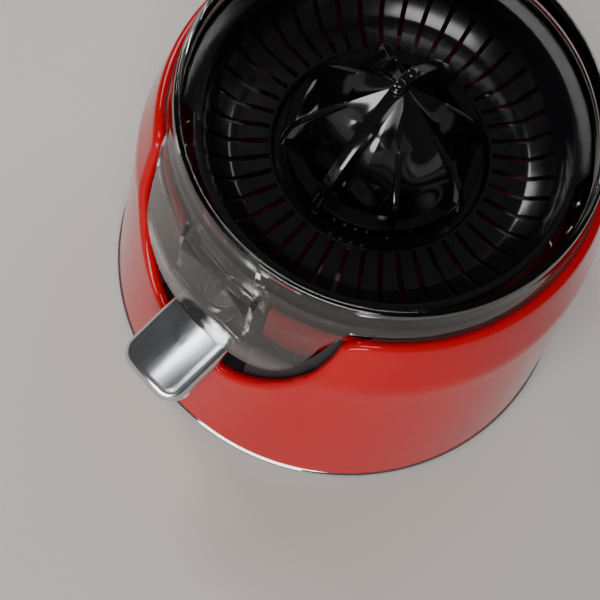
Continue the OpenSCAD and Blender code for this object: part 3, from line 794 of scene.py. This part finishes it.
# ---------------------------------------------------------------- reamer
@dataclass
class Cone:
    """Black reamer: fluted dome, a tall blade pair across the tip, six shorter ribs and a slotted skirt."""

    radius: float = (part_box("reamer")[1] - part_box("reamer")[0]).y / 2 / MM
    foot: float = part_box("reamer")[0].z / MM + 1
    tip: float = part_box("reamer")[1].z / MM
    spindle_top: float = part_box("spindle")[1].z / MM
    blade_angle: float = 5.0
    blade_thick: float = 4.6
    ribs: int = 8
    scoop: float = 4.6
    hub: float = 9.0
    drive_flat: float = 10.0
    ridge_power: float = 1.9
    crest_share: float = 0.9
    hex_turn: float = 30.0

    @property
    def dome_top(self) -> float:
        """Height of the dome's own tip, under the blade."""
        return self.tip - 5.5

    def ridge(self, z: float) -> float:
        """Return the ridge radius at a height in millimetres."""
        t = (z - self.foot) / (self.tip + 0.8 - self.foot)
        return self.radius * (1 - max(0.0, t) ** self.ridge_power)

    def crest(self, z: float) -> float:
        """Return the dome's radius under a minor rib at a height in millimetres."""
        t = (z - self.foot) / (self.dome_top - self.foot)
        return self.radius * self.crest_share * (1 - min(1.0, max(0.0, t)) ** 2)

    def dome(self) -> Piece:
        """Build the hollow dome with a flute scooped between each pair of ribs.

        Returns:
            The dome, open below.
        """
        def place(u: float, v: float) -> Vector:
            """Give a point for a share of the turn and a share of the height."""
            angle = u * 2 * math.pi
            z = self.foot + (self.dome_top - self.foot) * v
            across = (u * self.ribs) % 1.0
            from_blade = min(u, abs(u - 0.5), 1 - u) * self.ribs
            crest = self.crest(z)
            depth = self.scoop * smoothstep(1, 16, z - self.foot) * min(1.0, crest / 22)
            full = crest * (0.8 + 0.2 * smoothstep(0, 1.1, from_blade))
            r = full - depth * (1 - abs(2 * across - 1) ** 2.2)
            return Vector((max(0.0, r) * math.cos(angle), max(0.0, r) * math.sin(angle), z))

        piece = drape("dome", columns=256, rows=72, place=place)
        thicken(piece, thick_mm=2.2, core=(0, 0, self.foot))
        return smooth(piece, 24)

    def main_blade(self) -> Piece:
        """Build the tall blade that crosses the tip, notched round the drive socket.

        Returns:
            The blade.
        """
        top, low = self.tip - 0.9, self.foot + 0.5
        right = [(self.ridge(z), z) for z in [low + (top - low) * (i / 26) ** 0.8 for i in range(27)]]
        roof = self.spindle_top + 1
        notch = [(-self.hub, low), (-self.hub, roof), (self.hub, roof), (self.hub, low)]
        piece = plate("blade", right + [(-x, z) for x, z in reversed(right)] + notch, self.blade_thick)
        round_edges(piece, 0.7, 3, 40)
        return piece

    def minor_rib(self) -> Piece:
        """Build one short rib that grows out of the dome from a point half way up.

        Returns:
            The rib.
        """
        start, low = self.tip - 21, self.foot + 0.5
        levels = [low + (start - low) * i / 20 for i in range(21)]
        outer = []
        for z in levels:
            share = smoothstep(0, 17, start - z)
            outer.append(((self.crest(z) - 0.6) * (1 - share) + self.ridge(z) * 0.98 * share, z))
        inner = [(self.crest(z) - 4.5, z) for z in reversed(levels)]
        piece = plate("rib", outer + inner, 2.4)
        round_edges(piece, 0.5, 2, 40)
        return piece

    def knob(self) -> list[Piece]:
        """Build the rounded bar across the tip with its two small bumps.

        Returns:
            The solids of the tip.
        """
        bar = rod(32, 2.5, 14, (0, 0, self.tip - 3.2), ALONG_X)
        round_edges(bar, 2.2, 6, 60)
        solids = [bar]
        for side in (-1, 1):
            bump = rod(28, 1.9, 3, (side * 3.1, 0, self.tip - 1.5))
            round_edges(bump, 0.8, 4, 60)
            solids.append(bump)
        return solids

    def socket(self) -> Piece:
        """Build the hub with its six-sided drive socket.

        Returns:
            The hub.
        """
        piece = turn("socket", [(2, self.foot), (self.hub, self.foot), (self.hub, self.spindle_top + 4),
                                (2, self.spindle_top + 4)], 64)
        hexagon = rod(6, (self.drive_flat / 2 + 0.15) / math.cos(math.pi / 6), 60,
                      (0, 0, self.spindle_top + 0.05 - 30), (0, 0, math.radians(self.hex_turn)))
        combine(piece, hexagon, Joining.CUT)
        return piece

    def skirt(self) -> Piece:
        """Build the band round the foot with fine slots between the ribs.

        Returns:
            The slotted band.
        """
        outside = self.radius * 0.94
        outline = [
            (32.2, self.foot - 1), (outside - 0.5, self.foot - 1), (outside, self.foot - 0.5),
            (outside, self.foot + 6.6), (outside - 0.5, self.foot + 7), (32.2, self.foot + 7),
        ]
        piece = turn("skirt", outline)
        cutters = []
        for k in range(self.ribs):
            for step in (-1.5, -0.5, 0.5, 1.5):
                bar = block("bar", (outside - 1.2, -0.5, self.foot - 2), (self.radius, 0.5, self.foot + 5))
                cutters.append(spin_about_axis(bar, (k + 0.5) * 360 / self.ribs + step * 6.5))
        combine(piece, join("cutters", cutters), Joining.CUT)
        return piece

    def build(self) -> None:
        """Make and dress the reamer."""
        parts = [self.dome(), self.main_blade(), self.skirt(), self.socket(), *self.knob()]
        for k in range(self.ribs):
            if k % (self.ribs // 2):
                parts.append(spin_about_axis(self.minor_rib(), k * 360 / self.ribs))
        piece = join("reamer_cone", parts)
        spin_about_axis(piece, self.blade_angle - 90)
        smooth(piece, 24)
        hand_over(piece, Body.CONE, BLACK_CONE, ["reamer"])


# ---------------------------------------------------------------- sieve
@dataclass
class Sieve:
    """Black strainer: dished floor with radial slots that climb the wall, a lip and a grip flange."""

    slots: int = 44
    slot_width: float = 2.0
    inner_end: float = 43.0
    outer_end: float = 65.8
    phase: float = -92.5
    flange_from: float = 28.0
    flange_sweep: float = 202.0
    rim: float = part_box("bowl")[1].z / MM

    def dish(self) -> Piece:
        """Build the dish and cut its slots.

        Returns:
            The slotted dish.
        """
        rim, low = self.rim, self.rim - 34.6
        outline: Outline = [
            (17.3, low - 3.8), (38.6, low - 3.8), (40.4, low - 3.0), (42.4, low - 0.6), (44, low - 0.1),
            (54.4, low - 1.8), (56.9, low - 1.9), (59.4, low - 0.9), (65.4, low + 3.7), (67.6, low + 6.2),
            (69.6, low + 9.6), (70.9, rim - 16.4), (71.6, rim - 15.3), (72.2, rim - 15.0),
            (72.6, rim - 14.5), (72.2, rim - 13.8), (71.2, rim - 13.5), (70.2, rim - 13.7),
            (69.6, rim - 14.4), (68.6, rim - 23), (67.6, low + 9.4), (65.8, low + 7.0), (62.8, low + 4.5),
            (58.2, low + 0.9), (56.4, low + 0.2), (54.4, low + 0.3), (43.4, low + 1.8), (41.9, low + 1.8),
            (41.2, low + 1.2), (40.9, low - 1.4), (40.4, low - 1.8), (20, low - 1.8), (19.4, low - 1.2),
            (19.4, rim - 26.6), (18.8, rim - 26), (15.4, rim - 26), (15.4, rim - 27.9), (17.3, rim - 27.9),
        ]
        piece = turn("sieve_dish", outline, 176)
        bars = []
        for k in range(self.slots):
            bar = block("bar", (self.inner_end, -self.slot_width / 2, low - 6),
                        (self.outer_end, self.slot_width / 2, low + 14))
            bars.append(spin_about_axis(bar, self.phase + k * 360 / self.slots))
        combine(piece, join("bars", bars), Joining.CUT)
        return piece

    def flange(self) -> Piece:
        """Build the grip flange, its ends swept in by an S-curve.

        Returns:
            The flange as a closed plate.
        """
        top = self.rim - 13.4
        ease = 9.0

        def width(share: float) -> float:
            """Return the flange's reach past the wall at a share of its sweep."""
            degrees = share * self.flange_sweep
            return smoothstep(0, ease, degrees) * smoothstep(0, ease, self.flange_sweep - degrees)

        def place(u: float, v: float) -> Vector:
            """Give a point for a share of the sweep and a share of the width."""
            angle = math.radians(self.flange_from + u * self.flange_sweep)
            r = 69.8 + (0.9 + 5.8 * width(u)) * v
            return Vector((r * math.cos(angle), r * math.sin(angle), top - 0.35 * v))

        piece = drape("flange", columns=180, rows=6, place=place)
        thicken(piece, thick_mm=1.5, core=(0, 0, 0))
        round_edges(piece, 0.45, 2)
        return piece

    def build(self) -> None:
        """Make and dress the strainer."""
        piece = join("sieve_moulding", [self.dish(), self.flange()])
        smooth(piece, 34)
        hand_over(piece, Body.SIEVE, BLACK_SIEVE, ["strainer"])


# ---------------------------------------------------------------- bowl and spout
@dataclass
class JuiceBowl:
    """Clear bowl: thin wall, rolled-over skirt, apron flowing from it over the notch, sump and outlet."""

    housing: Housing
    seat: float = 79.4
    wall: float = 2.4
    apron_half: float = 45.0
    apron_drop: float = 48.0
    apron_wall: float = 1.8
    apron_power: float = 2 / 2.6
    sump_half: float = 19.4
    ear_radius: float = 5.9
    tube_bore: float = 4.5
    tube_reach: float = 76.5
    pivot_reach: float = 64.0
    pivot_height: float = 84.0

    @property
    def rim(self) -> float:
        """Height of the bowl's rim."""
        return self.housing.rim

    def shell_wall(self) -> Piece:
        """Turn the wall, skirt, floor and centre tube.

        Returns:
            The turned bowl.
        """
        rim, inside, floor = self.rim, self.seat - self.wall, self.rim - 46.7
        outline: Outline = [
            (inside + 0.4, rim - 1.3), (inside + 0.9, rim - 0.3), (inside + 1.6, rim), (79.2, rim),
            (79.8, rim - 0.4), (80.1, rim - 1.4), (80.3, rim - 6), (80.9, rim - 10), (81.7, rim - 14),
            (82.3, rim - 17), (81.8, rim - 17.2), (80.9, rim - 16.6), (80.1, rim - 13.6),
            (79.6, rim - 12.4), (self.seat, rim - 14), (self.seat, rim - 42), (78.5, rim - 44.8),
            (76.4, floor), (15, floor), (15, rim - 28.4), (15.4, rim - 28), (16.6, rim - 28),
            (17, rim - 28.4), (17, floor + 3.6), (18.2, floor + 2.5), (71, floor + 2.7),
            (75.2, floor + 4.2), (inside, rim - 40),
        ]
        return turn("bowl_wall", outline, 192)

    def apron(self) -> Piece:
        """Drape the apron from the wall outwards over the notch, narrowing to a rounded lower edge.

        Returns:
            The apron, closed all round.
        """
        top = self.rim - 4.2
        level = self.rim - 17

        def place(u: float, v: float) -> Vector:
            """Give a point for a share of the width and a share of the height."""
            t = (u - 0.5) * math.pi
            share = abs(math.sin(t)) ** self.apron_power
            x = self.apron_half * share
            low = level - 52 * max(0.0, math.cos(t)) ** self.apron_power
            flat = level - self.apron_drop
            low = (low + flat + math.hypot(low - flat, 5)) / 2
            x = math.copysign(x + 5 * smoothstep(level - 12, level + 1, low), t)
            z = low + (top - low) * v
            flare = 1 - smoothstep(self.rim - 26, self.rim - 5, z)
            r = 80.0 * (1 - flare) + (self.housing.radius(z) - 1.2) * flare
            return Vector((x, -math.sqrt(r * r - x * x), z))

        piece = drape("apron", columns=96, rows=40, place=place)
        thicken(piece, self.apron_wall, (0, 0, level))
        round_edges(piece, 0.6, 3, 50)
        return piece

    def sump(self) -> list[Piece]:
        """Build the trough under the outlet, its cheeks, the pivot ears and the outlet tube.

        Returns:
            The solids to weld to the bowl.
        """
        low, half, wall = self.rim - 58, self.sump_half, 2.2
        solids = []
        for side in (-1, 1):
            inner, outer = sorted((side * (half - wall), side * half))
            front = -math.sqrt(84.6 ** 2 - half ** 2)
            solids.append(block("cheek", (inner, front, low), (outer, -75.6, self.rim - 21)))
            solids.append(block("cheek_low", (inner + 0.02, -80, low + 0.02),
                                (outer - 0.02, -58.7, self.rim - 45)))
            solids.append(rod(48, self.ear_radius, wall - 0.06,
                              ((inner + outer) / 2, -self.pivot_reach, self.pivot_height), ALONG_X))
            solids.append(block("ear", (inner + 0.05, -self.pivot_reach - self.ear_radius, self.pivot_height),
                                (outer - 0.05, -self.pivot_reach + 5.4, low + 1)))
        solids.append(block("sump_floor", (-half + 0.3, -84.8, low + 0.1), (half - 0.3, -58.9, low + wall)))
        solids.append(block("sump_back", (-half + 0.3, -60.8, low + 0.2),
                            (half - 0.3, -58.9, self.rim - 45.3)))
        bore, end = self.tube_bore, self.pivot_height - 1.6
        tube = turn("tube", [(bore, end), (6.1, end), (6.5, self.pivot_height - 1.2), (6.5, low + 0.6),
                             (7.3, low + 3.2), (6.5, low + 3.8), (5.2, low + 3.2), (bore, low + 2)], 64)
        tube.data.transform(Matrix.Translation((0, -self.tube_reach * MM, 0)))
        solids.append(tube)
        return solids

    def build(self) -> None:
        """Weld the moulding together, open it to the sump and dress it."""
        piece = self.shell_wall()
        combine(piece, self.apron(), Joining.WELD)
        half = self.sump_half - 2.2
        opening = block("opening", (-half, -82, self.rim - 55.8), (half, -60, self.rim - 42))
        combine(piece, opening, Joining.CUT)
        weir = block("weir", (-half, -84, self.rim - 44), (half, -76, self.rim - 26))
        combine(piece, weir, Joining.CUT)
        combine(piece, join("sump", self.sump()), Joining.WELD)
        combine(piece, rod(48, self.tube_bore, 30, (0, -self.tube_reach, self.rim - 70)), Joining.CUT)
        piece.name = piece.data.name = "clear_bowl_moulding"
        smooth(piece, 36)
        hand_over(piece, Body.BOWL, CLEAR_BOWL, ["bowl"])


@dataclass
class Spout:
    """Pressed steel hood over the trough, rounded at its tip, sloping down and forward."""

    slope: float = 24.0
    width: float = 31.0
    height: float = 11.0
    rise: float = 4.6
    fillet: float = 4.2
    corner: float = 8.0
    wall: float = 1.0
    rear: float = 84.5
    reach: float = 118.0
    crest_reach: float = 90.0
    crest_drop: float = 70.0
    rim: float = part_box("bowl")[1].z / MM

    def frame(self) -> Matrix:
        """Return the spout's own frame: its crest in front of the axis, sloping down."""
        place = Matrix.Translation((0, -self.crest_reach * MM, (self.rim - self.crest_drop) * MM))
        return place @ Matrix.Rotation(math.radians(self.slope), 4, "X")

    def hood(self) -> Piece:
        """Press the hood from one sheet: walls, a rounded shoulder and a crowned top.

        Returns:
            The hood.
        """
        half = self.width / 2
        back = (self.crest_reach - self.rear) / math.cos(math.radians(self.slope))
        front = (self.reach - self.crest_reach) / math.cos(math.radians(self.slope))
        side, bend = 14, 12
        plan: Outline = [(-half, back - (back + front - self.corner) * i / side) for i in range(side)]
        plan += [(-half + self.corner * (1 - math.cos(a)), -front + self.corner * (1 - math.sin(a)))
                 for a in [math.pi / 2 * i / bend for i in range(bend + 1)]]
        flat = half - self.corner
        plan += [(-flat + flat * i / 5, -front) for i in range(1, 6)]
        plan += [(-x, y) for x, y in reversed(plan[:-1])]
        count = len(plan) - 1
        wall_rows, shoulder_rows, top_rows = 6, 7, 12
        rows = wall_rows + shoulder_rows + top_rows
        spine_end = -front + half

        def crown(x: float) -> float:
            """Return the height of the crowned top at a distance from the middle."""
            return -self.rise * abs(x / half) ** 2

        def place(u: float, v: float) -> Vector:
            """Give a point for a share of the plan's edge and a share of the section."""
            i, row = round(u * count), round(v * rows)
            x, y = plan[i]
            before, after = plan[max(0, i - 1)], plan[min(count, i + 1)]
            inward = Vector((-(after[1] - before[1]), after[0] - before[0], 0))
            inward.normalize()
            if (Vector((0, max(y, spine_end), 0)) - Vector((x, y, 0))).dot(inward) < 0:
                inward.negate()
            ease = self.fillet
            edge = Vector((x, y, 0)) + inward * ease
            top = crown(edge.x)
            if row <= wall_rows:
                low = -self.height + 3.0 * smoothstep(-front + 9, -front + 1, y)
                return Vector((x, y, low + (top - ease - low) * row / wall_rows))
            if row <= wall_rows + shoulder_rows:
                a = math.pi / 2 * (row - wall_rows) / shoulder_rows
                return (Vector((x, y, top - ease)) + inward * ease * (1 - math.cos(a))
                        + Vector((0, 0, ease * math.sin(a))))
            share = (row - wall_rows - shoulder_rows) / top_rows
            spine = Vector((0, min(max(edge.y, spine_end), back), 0))
            spot = edge.lerp(spine, share)
            spot.z = crown(spot.x)
            return spot

        piece = drape("spout_hood_sheet", count, rows, place)
        tidy_mesh(piece, 0.01)
        thicken(piece, self.wall, (0, 0, -self.height))
        piece.data.transform(self.frame())
        return smooth(piece, 40)

    def build(self) -> None:
        """Make and dress the spout's pieces."""
        hand_over(self.hood(), Body.SPOUT, SPOUT_STEEL, ["spout_hood"])


@dataclass
class EasedParts:
    """CAD pieces in view whose shape is right: copied and given the small radii that a mould leaves."""

    parts: tuple[tuple[str, Body, Finish, str, float], ...] = (
        ("base_ring", Body.CHASSIS, CHROME, "chrome_trim", 0.2),
        ("well", Body.CHASSIS, RED_BODY, "red_body", 0.4),
        ("base_plate", Body.CHASSIS, BLACK_GRAIN, "black_matte", 0.4),
        ("foot_ring", Body.CHASSIS, BLACK_RUBBER, "rubber_black", 0.4),
        ("cord_gland", Body.CHASSIS, BLACK_GRAIN, "black_matte", 0.3),
        ("spout_chute", Body.SPOUT, BLACK_GRAIN, "black_matte", 0.25),
        ("drip_stopper", Body.SPOUT, WHITE_SILICONE, "silicone_white", 0.5),
    )

    def build(self) -> None:
        """Copy, ease and dress each part."""
        for node, body, finish, slot, width in self.parts:
            piece = copy_of(node, f"{node}_eased")
            round_edges(piece, width, 2, 35)
            smooth(piece, 32)
            hand_over(piece, body, finish, [node])


# ---------------------------------------------------------------- the rest
def dress_frame() -> None:
    """Give each CAD node that still shows the finish of its record slot."""
    for part in frame["record"]["subparts"]:
        SLOT_FINISH[part["material_slot"]].dress(frame["nodes"][part["node"]])


@dataclass
class Studio:
    """Pale floor, soft lights and the camera."""

    eye: tuple[float, float, float] = (0.1448, -0.2633, 0.6999)
    azimuth: float = 31.0
    elevation: float = 68.28
    roll: float = 17.96
    lens: float = 103.15

    def floor(self) -> None:
        """Lay a wide pale floor."""
        start_clean()
        bpy.ops.mesh.primitive_plane_add(size=12)
        piece = bpy.context.object
        piece.name = "floor"
        material = bpy.data.materials.new("pale_floor")
        material.use_nodes = True
        shader = material.node_tree.nodes["Principled BSDF"]
        shader.inputs["Base Color"].default_value = linear("#c6c2bd")
        shader.inputs["Roughness"].default_value = 0.75
        piece.data.materials.append(material)

    def lamp(self, name: str, place: Sequence[float], size: tuple[float, float], power: float) -> None:
        """Hang one rectangular soft light aimed at the juicer.

        Args:
            name: The light's name.
            place: Its position in metres.
            size: Width and height in metres.
            power: Watts.
        """
        light = bpy.data.lights.new(name, "AREA")
        light.shape, light.size, light.size_y, light.energy = "RECTANGLE", size[0], size[1], power
        holder = bpy.data.objects.new(name, light)
        bpy.context.scene.collection.objects.link(holder)
        holder.location = place
        holder.rotation_mode = "QUATERNION"
        holder.rotation_quaternion = (Vector((0, 0, 0.09)) - Vector(place)).to_track_quat("-Z", "Y")

    def camera(self) -> None:
        """Stand the camera high over the front right of the juicer, rolled to one side."""
        data = bpy.data.cameras.new("camera")
        data.lens, data.sensor_width = self.lens, 36
        holder = bpy.data.objects.new("camera", data)
        bpy.context.scene.collection.objects.link(holder)
        a, e, r = (math.radians(x) for x in (self.azimuth, self.elevation, self.roll))
        back = Vector((math.sin(a) * math.cos(e), -math.cos(a) * math.cos(e), math.sin(e)))
        level = Vector((math.cos(a), math.sin(a), 0))
        upright = back.cross(level)
        right = level * math.cos(r) + upright * math.sin(r)
        up = upright * math.cos(r) - level * math.sin(r)
        turn_to = Matrix((right, up, back)).transposed().to_4x4()
        holder.matrix_world = Matrix.Translation(self.eye) @ turn_to
        bpy.context.scene.camera = holder

    def build(self) -> None:
        """Set up the floor, lights, world and camera."""
        self.floor()
        self.camera()
        world = bpy.data.worlds.new("soft_room")
        world.use_nodes = True
        sky = world.node_tree.nodes["Background"]
        sky.inputs["Color"].default_value = linear("#f2f1ef")
        sky.inputs["Strength"].default_value = 0.1
        bpy.context.scene.world = world
        self.lamp("key", (0.22, -0.5, 1.0), (0.6, 0.26), 5)
        self.lamp("left", (-0.8, 0.1, 0.8), (0.3, 0.5), 5)
        self.lamp("back", (-0.15, 0.95, 0.75), (1.0, 0.3), 5)
        self.lamp("front", (0.5, -1.3, 0.42), (1.0, 0.4), 18)


def main() -> None:
    logging.basicConfig(level=logging.INFO, format="%(message)s")
    dress_frame()
    housing = Housing()
    for assembly in (housing, JuiceBowl(housing), Sieve(), Cone(), Spout(), EasedParts(), Studio()):
        LOG.info("building %s", type(assembly).__name__)
        assembly.build()


if __name__ == "__main__":
    main()
